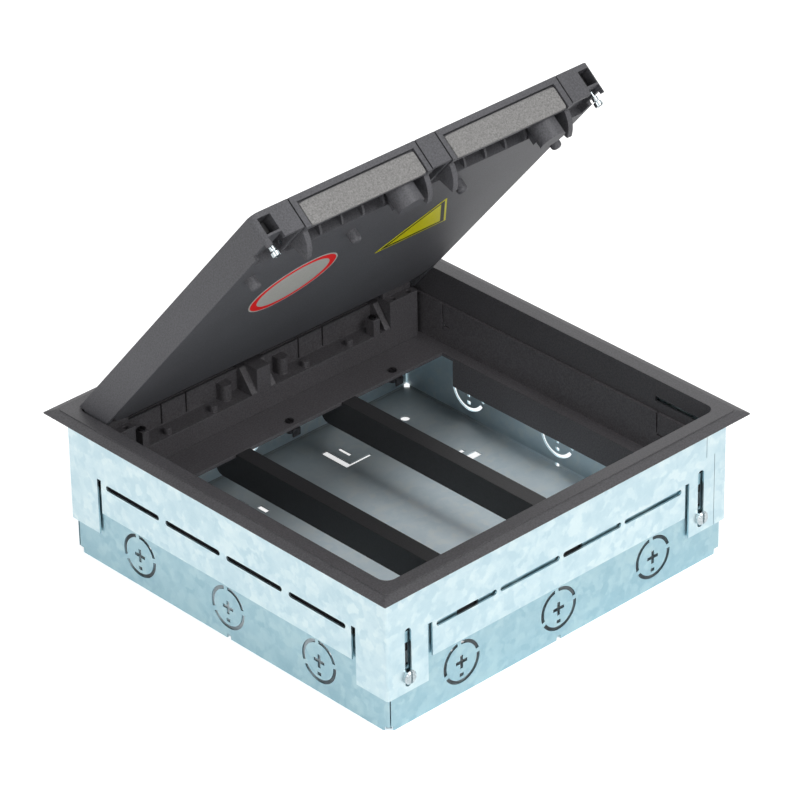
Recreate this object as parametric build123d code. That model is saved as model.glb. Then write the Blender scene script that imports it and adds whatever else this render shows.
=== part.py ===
from build123d import *
import math
import os

os.makedirs("parts", exist_ok=True)

# All sizes are in millimetres. Z is up and z = 0 is the tray's underside.
# The cord outlets face -Y, the lid's hinge is on the +Y side.
# The lid is drawn shut and then turned open about its hinge.

# Gaps
body_gap = 0.3        # between pieces that move past each other
pin_play = 0.03       # radial, pin in hole
tight = 0.01          # radial, screw or pin held in its hole
lap = 0.5             # how far cutting tools run past a face

# Small screws
small_screw = 1.5
driver_slot = 0.8

# Galvanised tray
sheet = 1.0
tray_half = 121.5
tray_end_top = 56.0
tray_side_top = 48.0
corner_slit = 0.8
corner_relief = 3.0
fixing_half = 95.5    # four holes for screws into the raw floor
fixing_radius = 2.75
wall_notches = (-73.0, 2.0)
wall_notch = 15.0
foot_notch = 3.0
foot_notch_top = 2.4

# Knock-outs in the tray walls
knock_pitch = 70.0
knock_height = 19.3
knock_radius = 12.8
knock_cut = 2.1
knock_bridge = 2.6
knock_bridge_angles = (97, 10, 205)
plus_size = 8.0
plus_bar = 2.0
pry_width = 2.8
pry_drop = 7.8

# Height-adjusting collar
collar_gap = 1.0
collar_half = tray_half + collar_gap + sheet
leg_bottom = 20.7
flap_bottom = 34.5
slit_width = 3.1
slit_top = 55.0
slit_end_walls = 93.5
slit_side_walls = 98.7
row_low = 50.7
row_high = 53.9
row_slot = 42.6
seam_upper = 108.3
seam_lower = 114.4
seam_step = 65.0
seam_gap = 0.3

# Adjusting screws in the collar's slots
screw_x_left = -109.0
screw_x_right = 104.0
screw_z = 30.0
screw_radius = 2.0
screw_head_radius = 4.0
screw_head_edge = 0.8
screw_head = 2.4
slot_half_width = screw_radius + 0.25
slot_low = 24.0
slot_high = 59.0
wall_slot = (33.4, 49.2)
nut_half = 5.0
nut_thick = 1.2

# Plastic floor frame
rim_top = 88.4
rim_under = 85.4
rim_half = 132.0
rim_flat_half = 126.7
rim_edge = 0.5
rim_step = 0.6
rim_inner = 119.0
rim_foot = 118.7
rim_foot_z = 69.5
rim_corner = 6.0
spigot_half = collar_half - sheet - 0.2
spigot_low = 79.4
seat_groove = 0.4
wall_half = tray_half - sheet - body_gap
side_slot = (-112.0, -75.0, 75.0, 78.0)

# Insert tray under the frame
insert_inner = 117.3
insert_wall = 1.5
insert_outer = insert_inner + insert_wall
insert_lip = 2.0
plate_top = 44.0
plate_thick = 2.0
plate_low = plate_top - plate_thick
opening_half_y = 80.0
opening_half_x = 109.8
skirt_bottom = 25.7
skirt_wall = 1.5
skirt_half_y = 71.5
wall_slits = ((87.0, 53.5), (-78.0, 57.0))
wall_slit = 0.8
wall_slit_foot = 56.0
wall_slit_turn = 5.0

# Two channels that carry the outlets' mounting cups
bar_centre = 38.75
bar_width = 9.9
bar_reach = 97.0
bar_corner = 6.0

# Plate screws and their clips
plate_screw_x = 76.7
plate_screw_y = 85.0
plate_head = 1.0
plate_head_radius = 2.3
clip_half = 2.7
clip_drop = 4.5
clip_sheet = 0.8
clip_barrel = 2.4

# Hinge
hinge_y = 112.8
hinge_z = 74.5
open_angle = 50.0
hinge_pin_radius = 2.0
knuckle_radius = 3.8
heel_gap = 0.3
heel_radius = rim_foot - heel_gap - hinge_y

# Hinge bridge, a plastic beam on the rear of the plate
bridge_front = 103.4
bridge_floor = 56.5
bridge_back = insert_inner - 0.3
bridge_panel_top = 69.0
bridge_panel = 1.5
bridge_half = 113.6
bridge_block_in = 92.9
bridge_block_top = 73.0
bridge_middle = -1.5
bridge_skin = 2.5
bridge_slits = (-64.7, -47.0, 34.9, 52.8)
knob_offsets = (-66.5, -33.7, 33.7, 66.5)
knob_y = 107.0
knob_radius = 2.25
knob_height = 3.6
mast_offsets = (-20.5, 20.5)
mast_y = 112.0
mast_half = 3.5
mast_top = 66.2
centre_half = 4.8
centre_top = 71.5
fins = ((-8.9, -4.7), (4.9, 8.7), (90.4, 94.1), (-94.1, -90.4))
fin_top = 70.2
bridge_screw_x = (-86.0, 82.5)
bridge_screw_y = 106.8
bridge_screw_seat = 66.4
bridge_screw_head = 2.2
end_holes = (97.6, 109.2)
end_hole_y = 106.2
end_hole_radius = 1.6
end_hole_depth = 6.0

# Lid
lid_gap = 1.0
lid_half = rim_inner - lid_gap
lid_depth = 18.0
lid_bottom = rim_top - lid_depth
lid_skin = 3.0
lid_wall = 2.5
lid_corner = rim_corner - lid_gap
skin_under = rim_top - lid_skin
cassette_front = -93.0
cassette_rear = 97.0
cassette_corner = 14.0
cassette_wall = 3.0
pocket_half_x = lid_half - lid_wall - cassette_wall
pocket_front = cassette_front + cassette_wall
pocket_rear = cassette_rear - cassette_wall
pocket_floor = 82.0
cassette_lip = 0.8
cassette_lip_drop = 0.4
stiffener = 2.0
stiffener_gap = 0.3
stiffener_head = 1.0
fixing_x = (-92.0, 0.0, 92.0)
fixing_y = (-50.0, 50.0)
rib = 1.6
rib_x = (-74.0, -37.0, 0.0, 37.0, 74.0)
rib_y = (-50.0, 0.0, 50.0)

# Cord outlets in the lid's front edge
bay_in = 6.5
bay_out = 94.0
outlet_pivot_y = -lid_half + 21.0
outlet_pivot_z = lid_bottom + 4.2
outlet_pin_radius = 1.5
outlet_wall = 3.8
cheek = 3.3
cheek_radius = 16.3
nose_y = -106.2
outlet_strip_y = nose_y - 0.8
panel_bottom = lid_bottom + 1.1
foam_half = 39.0
foam_offset = 50.0
foam_top = 84.1
foam_thick = 2.3
foam_gap = 0.8
outlet_gap = 0.8
boss_offset = 28.0
boss_radius = 7.6
boss_bottom = 60.5
boss_top = 75.6
boss_y = -106.0
boss_web = 3.0
boss_web_low = 66.0
gusset_offsets = (-20.0, -5.2, 9.3, 23.6)
gusset = 1.4

# Latch slides in the lid's front corners
slide_in = 107.5
slide_out = 115.5
slide_low = 76.1
slide_high = 85.3
slide_play = 0.4
slide_rest = 8.0
slide_length = 13.0
slide_travel = 11.0
slide_shelf = 1.3
slide_side = 1.5
slide_nose = 2.0
button_in = 109.0
button_out = 114.0
button_rear = -95.2
button_length = 5.0
button_play = 0.5
skirt_notch = (-114.0, -101.0)
skirt_notch_top = 72.6

# Support screws under the lid's front corners
support_x = 113.0
support_y = -111.2
support_low = 65.4
support_radius = 1.5
support_head_radius = 2.4
support_head = 2.7
support_ring_radius = 1.7
support_ring = 2.3
support_neck = 0.6
support_ball = 1.2
support_ball_z = 74.0

# Posts, screws and stickers
post_x = (-106.2, -37.6, 37.6, 106.2)
post_y = -72.0
post_radius = 3.1
post_low = 63.6
post_tip = 2.0
disc_sticker = (-50.2, -23.5)
disc_sticker_radius = 27.2
triangle_sticker = (44.9, -18.5)
triangle_sticker_side = 51.4
sticker_thick = 0.2


def block(x0, x1, y0, y1, z0, z1):
    """Box between the given limits."""
    middle = Pos((x0 + x1) / 2, (y0 + y1) / 2, (z0 + z1) / 2)
    return middle * Box(x1 - x0, y1 - y0, z1 - z0)


def prism(half_x, half_y, z0, z1, corner=0.0, middle_y=0.0):
    """Upright prism on a rectangle about the middle, with rounded corners."""
    if corner > 0:
        outline = RectangleRounded(2 * half_x, 2 * half_y, corner)
    else:
        outline = Rectangle(2 * half_x, 2 * half_y)
    return extrude(Pos(0, middle_y, z0) * outline, amount=z1 - z0, dir=(0, 0, 1))


def taper(half0, z0, half1, z1, corner0=0.0, corner1=0.0):
    """Upright solid between two square outlines."""
    ends = []
    for half, z, corner in ((half0, z0, corner0), (half1, z1, corner1)):
        if corner > 0:
            outline = RectangleRounded(2 * half, 2 * half, corner)
        else:
            outline = Rectangle(2 * half, 2 * half)
        ends.append(Pos(0, 0, z) * outline)
    return loft(ends, ruled=True)


def side_view(points, x0, x1):
    """Outline in the YZ plane, given as (y, z) points, run from x0 to x1."""
    outline = Plane.YZ.offset(x0) * make_face(Polyline(*points, close=True))
    return extrude(outline, amount=x1 - x0, dir=(1, 0, 0))


def rod_x(x0, x1, y, z, radius):
    """Round rod along X."""
    return Pos((x0 + x1) / 2, y, z) * Rot(0, 90, 0) * Cylinder(radius, x1 - x0)


def rod_y(y0, y1, x, z, radius):
    """Round rod along Y."""
    return Pos(x, (y0 + y1) / 2, z) * Rot(90, 0, 0) * Cylinder(radius, y1 - y0)


def rod_z(z0, z1, x, y, radius):
    """Upright round rod."""
    return Pos(x, y, (z0 + z1) / 2) * Cylinder(radius, z1 - z0)


def both_sides(shape):
    """The shape and its mirror image across the YZ plane."""
    return [shape, mirror(shape, about=Plane.YZ)]


def turned(shape, angle):
    """The shape turned about the upright axis."""
    return Rot(0, 0, angle) * shape


def slotted_screw(x, y, low, seat, head, head_radius):
    """Upright small screw with a slotted head above its seat."""
    top = rod_z(seat, seat + head, x, y, head_radius)
    top -= block(x - driver_slot / 2, x + driver_slot / 2, y - head_radius - lap,
                 y + head_radius + lap, seat + head / 2, seat + head + lap)
    return top + rod_z(low, seat, x, y, small_screw)


def save(shape, name):
    export_step(shape, f"parts/{name}.step")


def group(solids):
    return Compound(children=list(solids))


# Tray


def knock_out_cut():
    """Ring cut with three bridges, a plus and a pry slot, at the origin."""
    ring = Circle(knock_radius) - Circle(knock_radius - knock_cut)
    for angle in knock_bridge_angles:
        bar = Rot(0, 0, angle) * Pos(knock_radius, 0) * Rectangle(6, knock_bridge)
        ring -= bar
    plus = Rectangle(plus_size, plus_bar) + Rectangle(plus_bar, plus_size)
    pry = Pos(0, -pry_drop) * Rectangle(pry_width, plus_bar)
    return extrude(Plane.XZ * (ring + plus + pry), amount=2 * sheet, both=True)


def base_tray():
    tray = prism(tray_half, tray_half, 0, tray_end_top, 1.2)
    tray -= prism(tray_half - sheet, tray_half - sheet, sheet, tray_end_top + lap)
    side_cut = block(tray_half - 2 * sheet, tray_half + lap, -tray_half + corner_relief,
                     tray_half - corner_relief, tray_side_top, tray_end_top + lap)
    tray -= side_cut
    tray -= turned(side_cut, 180)
    cut = knock_out_cut()
    for side in range(4):
        for x in (-knock_pitch, 0, knock_pitch):
            tray -= turned(Pos(x, -tray_half, knock_height) * cut, 90 * side)
        notch = block(-foot_notch / 2, foot_notch / 2, -tray_half - lap,
                      -tray_half + 1.6 * sheet, -lap, foot_notch_top)
        tray -= turned(notch, 90 * side)
        relief = Pos(-tray_half, -tray_half, 0) * Rot(0, 0, 45) * Box(
            2 * corner_relief, 2 * corner_relief, 2 * corner_relief)
        tray -= turned(relief, 90 * side)
        slit_x = -tray_half + sheet
        slit = block(slit_x, slit_x + corner_slit, -tray_half - lap,
                     -tray_half + sheet + 0.01, corner_relief, tray_end_top + lap)
        tray -= turned(slit, 90 * side)
    for turn in (0, 180):
        for x0 in wall_notches:
            notch = block(x0, x0 + wall_notch, -tray_half - lap, -tray_half + 2 * sheet,
                          tray_side_top, tray_end_top + lap)
            tray -= turned(notch, turn)
        for x in (screw_x_left, screw_x_right):
            hole = rod_y(-tray_half - lap, -tray_half + 2 * sheet, x, screw_z,
                         screw_radius + pin_play)
            tray -= turned(hole, turn)
            slot = block(x - slot_half_width, x + slot_half_width, -tray_half - lap,
                         -tray_half + 2 * sheet, *wall_slot)
            tray -= turned(slot, turn)
        tray -= turned(floor_cuts(), turn)
    for x in (-fixing_half, fixing_half):
        for y in (-fixing_half, fixing_half):
            tray -= rod_z(-lap, sheet + lap, x, y, fixing_radius)
    return tray


def floor_cuts():
    """Lug slots of one half of the tray's floor."""
    slots = ((36.4, 40.8, 80.0, 101.0), (40.8, 55.6, 80.0, 82.2),
             (45.8, 48.4, 88.2, 98.0), (91.6, 99.6, 37.6, 43.2),
             (91.2, 95.4, 46.6, 49.6), (-30.0, -27.6, 89.0, 97.0),
             (-26.4, -23.0, 77.0, 84.6))
    cuts = [block(x0, x1, y0, y1, -lap, sheet + lap) for x0, x1, y0, y1 in slots]
    return Part() + cuts


def adjusting_screw():
    """Slotted cheese-head screw through the front wall, drawn at x = 0."""
    face = -collar_half - 0.1
    screw = rod_y(face - screw_head, face, 0, screw_z, screw_head_radius)
    front_edge = screw.edges().filter_by(GeomType.CIRCLE).sort_by(Axis.Y)[0]
    screw = chamfer(front_edge, screw_head_edge)
    screw -= block(-0.6, 0.6, face - screw_head - lap, face - screw_head + 1.1,
                   screw_z - 5, screw_z + 5)
    shank_end = -tray_half + sheet + nut_thick
    return screw + rod_y(face, shank_end, 0, screw_z, screw_radius)


def sheet_nut():
    """Thin square nut behind the tray's wall, drawn at x = 0."""
    front = -tray_half + sheet
    nut = block(-nut_half, nut_half, front, front + nut_thick, screw_z - nut_half,
                screw_z + nut_half)
    return nut - rod_y(front - lap, front + nut_thick + lap, 0, screw_z,
                       screw_radius + tight)


def at_screws(piece):
    """Copies of a piece at the four adjusting screws."""
    copies = []
    for turn in (0, 180):
        for x in (screw_x_left, screw_x_right):
            copies.append(turned(Pos(x, 0, 0) * piece, turn))
    return group(copies)


# Collar


def collar_openings(slit_place, with_screw_slots):
    """Cuts of one collar wall, drawn on the front wall."""
    y0 = -collar_half - lap
    y1 = -collar_half + 2 * sheet
    cuts = []
    for side in (-1, 1):
        x = side * slit_place
        cuts.append(block(x - slit_width / 2, x + slit_width / 2, y0, y1,
                          leg_bottom - lap, slit_top))
    cuts.append(block(-slit_place, slit_place, y0, y1, leg_bottom - lap, flap_bottom))
    middle_z = (row_low + row_high) / 2
    for k in (-1.5, -0.5, 0.5, 1.5):
        x = k * (slit_place - slit_width) / 2.0
        long_slot = SlotOverall(row_slot, row_high - row_low)
        cuts.append(Pos(x, y1, middle_z) * extrude(Plane.XZ * long_slot, amount=y1 - y0))
    if with_screw_slots:
        for x in (screw_x_left, screw_x_right):
            slot = SlotOverall(slot_high - slot_low, 2 * slot_half_width, rotation=90)
            place = Pos(x, y1, (slot_low + slot_high) / 2)
            cuts.append(place * extrude(Plane.XZ * slot, amount=y1 - y0))
    return cuts


def seam_side():
    """Region of the front wall that belongs to the other sheet."""
    y0 = -collar_half - lap
    y1 = -collar_half + 2 * sheet
    end = collar_half + lap
    upper = block(seam_upper, end, y0, y1, seam_step, rim_under + seat_groove + lap)
    lower = block(seam_lower, end, y0, y1, leg_bottom - lap, seam_step)
    return upper + lower


def collar_sheet():
    """Front and left walls with the flange that turns onto the rear."""
    inner = collar_half - sheet
    top = rim_under + seat_groove
    walls = prism(collar_half, collar_half, leg_bottom, top, 1.6)
    walls -= prism(inner, inner, leg_bottom - lap, top + lap, 0.6)
    for cut in collar_openings(slit_end_walls, True):
        walls -= cut
        walls -= turned(cut, 180)
    for cut in collar_openings(slit_side_walls, False):
        walls -= turned(cut, 90)
        walls -= turned(cut, -90)
    right = block(inner - 1.0, collar_half + lap, -collar_half - lap, collar_half + lap,
                  leg_bottom - lap, top + lap)
    rear = block(-collar_half - lap, collar_half + lap, inner - 1.0, collar_half + lap,
                 leg_bottom - lap, top + lap)
    sheet_part = walls - right - (rear - turned(seam_side(), 180))
    sheet_part -= Pos(-seam_gap, 0, 0) * seam_side()
    return sheet_part


# Floor frame and insert tray


def floor_frame():
    step_z = rim_top - rim_step
    frame = prism(rim_half, rim_half, rim_under, rim_under + rim_edge, 0.6)
    frame += taper(rim_half, rim_under + rim_edge, rim_flat_half + 0.5, step_z)
    frame += prism(rim_flat_half, rim_flat_half, step_z, rim_top, 3.0)
    groove_half = collar_half + body_gap
    frame -= prism(groove_half, groove_half, rim_under - lap, rim_under + seat_groove, 1.6)
    frame += prism(spigot_half, spigot_half, spigot_low, rim_under + seat_groove, 2.5)
    frame += prism(wall_half, wall_half, rim_foot_z, spigot_low, rim_corner + 1.5)
    low = rim_foot_z - lap
    high = rim_top + lap
    slope = (rim_inner - rim_foot) / (rim_top - rim_foot_z)
    frame -= taper(rim_foot - slope * lap, low, rim_inner + slope * lap, high,
                   rim_corner, rim_corner)
    slot = block(rim_foot - lap, wall_half + lap, *side_slot)
    frame -= slot
    frame -= turned(slot, 180)
    keeper = block(slide_in - lap, slide_out + lap, -spigot_half, -rim_foot + 2.0,
                   slide_low - body_gap, slide_high)
    for pocket in both_sides(keeper):
        frame -= pocket
    return frame


def insert_tray():
    corner = rim_corner - 1.0
    tray = prism(insert_outer, insert_outer, plate_low, rim_foot_z, corner + 1.5)
    tray += prism(wall_half - 0.2, wall_half - 0.2, rim_foot_z - insert_lip, rim_foot_z,
                  corner + 2.0)
    tray -= prism(insert_inner, insert_inner, plate_top, rim_foot_z + lap, corner)
    tray -= block(-opening_half_x, opening_half_x, -opening_half_y, opening_half_y,
                  plate_low - lap, plate_top + lap)
    skirt = block(opening_half_x, opening_half_x + skirt_wall, -skirt_half_y,
                  skirt_half_y, skirt_bottom, plate_low)
    for piece in both_sides(skirt):
        tray += piece
    for y, low in wall_slits:
        slit = block(insert_inner - lap, wall_half, y - wall_slit / 2,
                     y + wall_slit / 2, low, rim_foot_z + lap)
        slit += block(insert_inner - lap, wall_half, y - wall_slit_turn, y,
                      wall_slit_foot - wall_slit / 2, wall_slit_foot + wall_slit / 2)
        tray -= slit
        tray -= turned(slit, 180)
    pad = block(support_x - 4.0, insert_inner + 0.5, -insert_inner - 0.5,
                support_y + 3.0, support_low - body_gap - 6.0, support_low - body_gap)
    for piece in both_sides(pad):
        tray += piece
    for x in (-plate_screw_x, 0, plate_screw_x):
        for y in (-plate_screw_y, plate_screw_y):
            tray -= rod_z(plate_low - lap, plate_top + lap, x, y, small_screw + pin_play)
    for x in bridge_screw_x:
        tray -= rod_z(plate_low - lap, plate_top + lap, x, bridge_screw_y,
                      small_screw + pin_play)
    return tray


def support_bar(middle):
    """Upturned channel across the opening, its ends under the plate."""
    x0 = middle - bar_width / 2
    x1 = middle + bar_width / 2
    half_y = opening_half_y - 0.2
    ends = block(x0, x1, -bar_reach, bar_reach, skirt_bottom, plate_low)
    ends = fillet(ends.edges().filter_by(Axis.X).group_by(Axis.Z)[0], bar_corner)
    bar = ends + block(x0, x1, -half_y, half_y, plate_low, plate_top)
    hollow = block(x0 + skirt_wall, x1 - skirt_wall, -half_y, half_y,
                   skirt_bottom - lap, plate_top - skirt_wall)
    hollow += block(x0 + skirt_wall, x1 - skirt_wall, -bar_reach - lap, bar_reach + lap,
                    skirt_bottom - lap, plate_low - skirt_wall)
    return bar - hollow


def plate_screws():
    screws = []
    for x in (-plate_screw_x, 0, plate_screw_x):
        for y in (-plate_screw_y, plate_screw_y):
            screws.append(slotted_screw(x, y, plate_low - clip_drop + lap, plate_top,
                                        plate_head, plate_head_radius))
    return group(screws)


def plate_clips():
    """Spring clips pushed over the plate's edge from the opening."""
    clips = []
    for x in (-plate_screw_x, 0, plate_screw_x):
        for side in (-1, 1):
            near = opening_half_y - clip_sheet
            far = plate_screw_y + clip_barrel + lap
            edge = block(x - clip_half, x + clip_half, near, near + clip_sheet,
                         plate_low - clip_drop, plate_low)
            leaf = block(x - clip_half, x + clip_half, near, far, plate_low - clip_sheet,
                         plate_low)
            barrel = rod_z(plate_low - clip_drop, plate_low, x, plate_screw_y, clip_barrel)
            clip = edge + leaf + barrel
            clip -= rod_z(plate_low - clip_drop - lap, plate_low + lap, x,
                          plate_screw_y, small_screw + tight)
            clips.append(clip if side > 0 else mirror(clip, about=Plane.XZ))
    return group(clips)


# Hinge bridge


def hinge_bridge():
    y0, y1 = bridge_front, bridge_back
    panel_face = y1 - bridge_panel
    beam = block(-bridge_half, bridge_half, y0, y1, plate_top, bridge_floor)
    beam -= block(-bridge_half + bridge_skin, bridge_half - bridge_skin,
                  y0 + bridge_skin, y1 - bridge_skin, plate_top - lap,
                  bridge_floor - bridge_skin)
    beam += block(-bridge_half, bridge_half, panel_face, y1, bridge_floor,
                  bridge_panel_top)
    for x in bridge_slits:
        beam -= block(x - 0.5, x + 0.5, panel_face - lap, y1 + lap, bridge_floor + 0.5,
                      bridge_panel_top + lap)
    for offset in knob_offsets:
        beam += rod_z(bridge_floor, bridge_floor + knob_height, bridge_middle + offset,
                      knob_y, knob_radius)
    for offset in mast_offsets:
        x = bridge_middle + offset
        beam += rod_z(bridge_floor, mast_top, x, mast_y, mast_half)
        beam += block(x - mast_half, x + mast_half, mast_y, y1, bridge_floor, mast_top)
    beam += block(bridge_middle - centre_half, bridge_middle + centre_half, y0, y1,
                  bridge_floor, centre_top)
    fin = [(y0, bridge_floor - 1), (y0, bridge_floor + 0.8), (y1 - 3.8, fin_top),
           (y1, fin_top), (y1, bridge_floor - 1)]
    for x0, x1 in fins:
        beam += side_view(fin, bridge_middle + x0, bridge_middle + x1)
    for x in bridge_screw_x:
        beam += block(x - 2.3, x + 2.3, y0, 109.5, bridge_floor, bridge_screw_seat)
        beam += rod_z(plate_top, bridge_floor, x, bridge_screw_y, 2 * small_screw)
    blocks = block(bridge_block_in, bridge_half, y0, y1, bridge_floor, bridge_block_top)
    blocks += rod_x(bridge_block_in, bridge_half, hinge_y, hinge_z, knuckle_radius)
    for x in end_holes:
        blocks -= rod_z(bridge_block_top - end_hole_depth, bridge_block_top + lap, x,
                        end_hole_y, end_hole_radius)
    for piece in both_sides(blocks):
        beam += piece
    bore = rod_x(bridge_block_in - lap, bridge_half + lap, hinge_y, hinge_z,
                 hinge_pin_radius + pin_play)
    for piece in both_sides(bore):
        beam -= piece
    for x in bridge_screw_x:
        beam -= rod_z(plate_top - lap, bridge_screw_seat + lap, x, bridge_screw_y,
                      small_screw + pin_play)
    return beam


def bridge_screws():
    screws = []
    for x in bridge_screw_x:
        screws.append(slotted_screw(x, bridge_screw_y, plate_low - 2.0,
                                    bridge_screw_seat, plate_head, bridge_screw_head))
    return group(screws)


def hinge_pins():
    pin = rod_x(bridge_block_in, lid_half - 1.1, hinge_y, hinge_z, hinge_pin_radius)
    return group(both_sides(pin))


# Lid, drawn shut


def opened(shape):
    """The shape turned from shut to the open stop."""
    axis = Axis((0, hinge_y, hinge_z), (1, 0, 0))
    return shape.rotate(axis, -open_angle)


def heel_line(distance, z):
    """Y of the sloping rear face, at a distance from the hinge axis."""
    slope = math.radians(open_angle)
    touch_y = hinge_y + distance * math.cos(slope)
    touch_z = hinge_z + distance * math.sin(slope)
    return touch_y - (z - touch_z) * math.tan(slope)


def touch_point(distance):
    slope = math.radians(open_angle)
    return (hinge_y + distance * math.cos(slope), hinge_z + distance * math.sin(slope))


def corner_tool():
    """What lies outside the frame's rounded rear corners."""
    half = lid_half + 8
    outside = block(-half, half, 100, half, 60, rim_top + 0.5)
    plan = prism(lid_half, (lid_half + hinge_y + heel_radius) / 2, 59, rim_top + 1,
                 lid_corner, (hinge_y + heel_radius - lid_half) / 2)
    return outside - plan


def lid_hull():
    touch = touch_point(heel_radius)
    outline = [(-lid_half, lid_bottom), (-lid_half, rim_top),
               (heel_line(heel_radius, rim_top), rim_top), touch, (hinge_y, hinge_z),
               (hinge_y, lid_bottom)]
    hull = side_view(outline, -lid_half, lid_half)
    uprights = hull.edges().filter_by(Axis.Z).group_by(Axis.Y)[0]
    hull = fillet(uprights, lid_corner)
    tool = corner_tool()
    axis = Axis((0, hinge_y, hinge_z), (1, 0, 0))
    hull -= tool
    hull -= tool.rotate(axis, open_angle)
    return hull


def lid_rear_hollow():
    """Space behind the cassette, open below, for the hinge bridge."""
    inner = heel_radius - lid_skin
    outline = [(cassette_rear, 40), (cassette_rear, skin_under),
               (heel_line(inner, skin_under), skin_under), touch_point(inner),
               touch_point(heel_radius), (130, touch_point(heel_radius)[1]), (130, 40)]
    half = lid_half - lid_wall
    return side_view(outline, -half, half) + rod_x(-half, half, hinge_y, hinge_z,
                                                   knuckle_radius + 0.5)


def cassette_corner_cuts():
    """Round off the cassette's rear corners below the pocket floor."""
    half = lid_half - lid_wall
    z0, z1 = lid_bottom - lap, pocket_floor - lid_wall
    corner = block(half - cassette_corner, half, cassette_rear - cassette_corner,
                   cassette_rear + lap, z0, z1)
    corner -= rod_z(z0 - lap, z1 + lap, half - cassette_corner,
                    cassette_rear - cassette_corner, cassette_corner)
    return both_sides(corner)


def bay(x0, x1):
    """Room for one cord outlet."""
    room = block(x0, x1, -lid_half - lap, cassette_front, lid_bottom - 20, skin_under)
    return room + block(x0, x1, -lid_half - lap, nose_y, skin_under - 1, rim_top + lap)


def lid_pockets():
    """Recess for the floor covering over the hollow with the ribs."""
    recess = block(-pocket_half_x, pocket_half_x, pocket_front, pocket_rear,
                   pocket_floor, rim_top + lap)
    hollow = prism(pocket_half_x, (pocket_rear - pocket_front) / 2,
                   lid_bottom + lid_wall, pocket_floor, cassette_corner - cassette_wall,
                   (pocket_rear + pocket_front) / 2)
    return recess + hollow


def lid_ribs():
    """Grid of ribs that carries the stiffening plate."""
    ribs = []
    z0, z1 = lid_bottom + lid_wall - lap, pocket_floor
    y0, y1 = cassette_front + lap, cassette_rear - lap
    for x in rib_x:
        ribs.append(block(x - rib / 2, x + rib / 2, y0, y1, z0, z1))
    half = lid_half - lid_wall
    for y in rib_y:
        ribs.append(block(-half, half, y - rib / 2, y + rib / 2, z0, z1))
    return ribs


def end_housing():
    """Right front corner of the lid: room for the latch slide and screw."""
    wall_in = bay_out + lid_wall
    wide = lid_half - lid_wall
    shelf_low = slide_low - slide_shelf
    low = lid_bottom - lap
    room = block(wall_in, wide, -lid_half + lid_wall, cassette_front, low, skin_under)
    side = slide_in - slide_side
    room -= block(side, wide + lap, -lid_half, cassette_front + lap, shelf_low, slide_low)
    room -= block(side, slide_in, -lid_half, cassette_front + lap, shelf_low,
                  skin_under + lap)
    room += block(slide_in, slide_out, -lid_half - lap, -lid_half + 2 * lid_wall,
                  slide_low, slide_high)
    room += block(slide_in - 0.3, slide_out, -lid_half - lap, -lid_half + 2 * lid_wall,
                  low, shelf_low)
    room += block(bay_out - lap, wide, -lid_half - lap, cassette_front, low, panel_bottom)
    room += block(button_in - button_play, button_out + button_play,
                  button_rear - button_length - slide_travel - body_gap,
                  button_rear + body_gap, slide_high - 1, rim_top + lap)
    room += block(wide - lap, lid_half + lap, *skirt_notch, lid_bottom - lap,
                  skirt_notch_top)
    room += rod_z(shelf_low - lap, slide_low + lap, support_x, support_y,
                  support_radius + tight)
    return room


def outlet_fittings(middle):
    """Gussets and the round boss behind one cord outlet."""
    pieces = []
    root = cassette_front + lap
    outline = [(root, lid_bottom), (cassette_front - 1.2, lid_bottom),
               (cassette_front - 2.6, lid_bottom + 1.6),
               (cassette_front - 4.0, lid_bottom + 4.0),
               (cassette_front - 4.0, lid_bottom + 9.6), (root, lid_bottom + 12.6)]
    for offset in gusset_offsets:
        x = middle + offset
        pieces.append(side_view(outline, x - gusset / 2, x + gusset / 2))
    x = middle + boss_offset
    pieces.append(rod_z(boss_bottom, boss_top, x, boss_y, boss_radius))
    pieces.append(block(x - boss_web / 2, x + boss_web / 2, boss_y, root, boss_web_low,
                        boss_top))
    return pieces


def lid_shell():
    shell = lid_hull()
    shell -= lid_rear_hollow()
    for cut in cassette_corner_cuts():
        shell -= cut
    shell -= bay(bay_in, bay_out)
    shell -= bay(-bay_out, -bay_in)
    for x0, x1 in ((bay_in, bay_out), (-bay_out, -bay_in)):
        shell += block(x0, x1, cassette_front, cassette_front + cassette_lip,
                       lid_bottom - cassette_lip_drop, lid_bottom + lap)
    pillar = bay_in - lid_wall
    shell -= block(-pillar, pillar, -lid_half + lid_wall, cassette_front,
                   lid_bottom - lap, skin_under)
    shell -= block(-bay_in - lap, bay_in + lap, -lid_half - lap, cassette_front,
                   lid_bottom - lap, lid_bottom + 0.7)
    for cut in both_sides(end_housing()):
        shell -= cut
    shell -= lid_pockets()
    for piece in lid_ribs():
        shell += piece
    for middle in (-foam_offset - 0.25, foam_offset + 0.25):
        for piece in outlet_fittings(middle):
            shell += piece
    for x in post_x:
        post = rod_z(post_low, lid_bottom + lid_wall, x, post_y, post_radius)
        low_edge = post.edges().filter_by(GeomType.CIRCLE).sort_by(Axis.Z)[0]
        shell += fillet(low_edge, post_tip)
    heel_in = lid_half - lid_wall
    heel = rod_x(heel_in, lid_half - 1.0, hinge_y, hinge_z, knuckle_radius)
    for piece in both_sides(heel):
        shell += piece
    bore = rod_x(heel_in - lap, lid_half + lap, hinge_y, hinge_z,
                 hinge_pin_radius + pin_play)
    outlet_bore = rod_x(bay_out - lap, bay_out + lid_wall + lap, outlet_pivot_y,
                        outlet_pivot_z, outlet_pin_radius + tight)
    inner_bore = rod_x(bay_in - lid_wall - lap, bay_in + lap, outlet_pivot_y,
                       outlet_pivot_z, outlet_pin_radius + tight)
    for tool in (bore, outlet_bore, inner_bore):
        for piece in both_sides(tool):
            shell -= piece
    return shell


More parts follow.
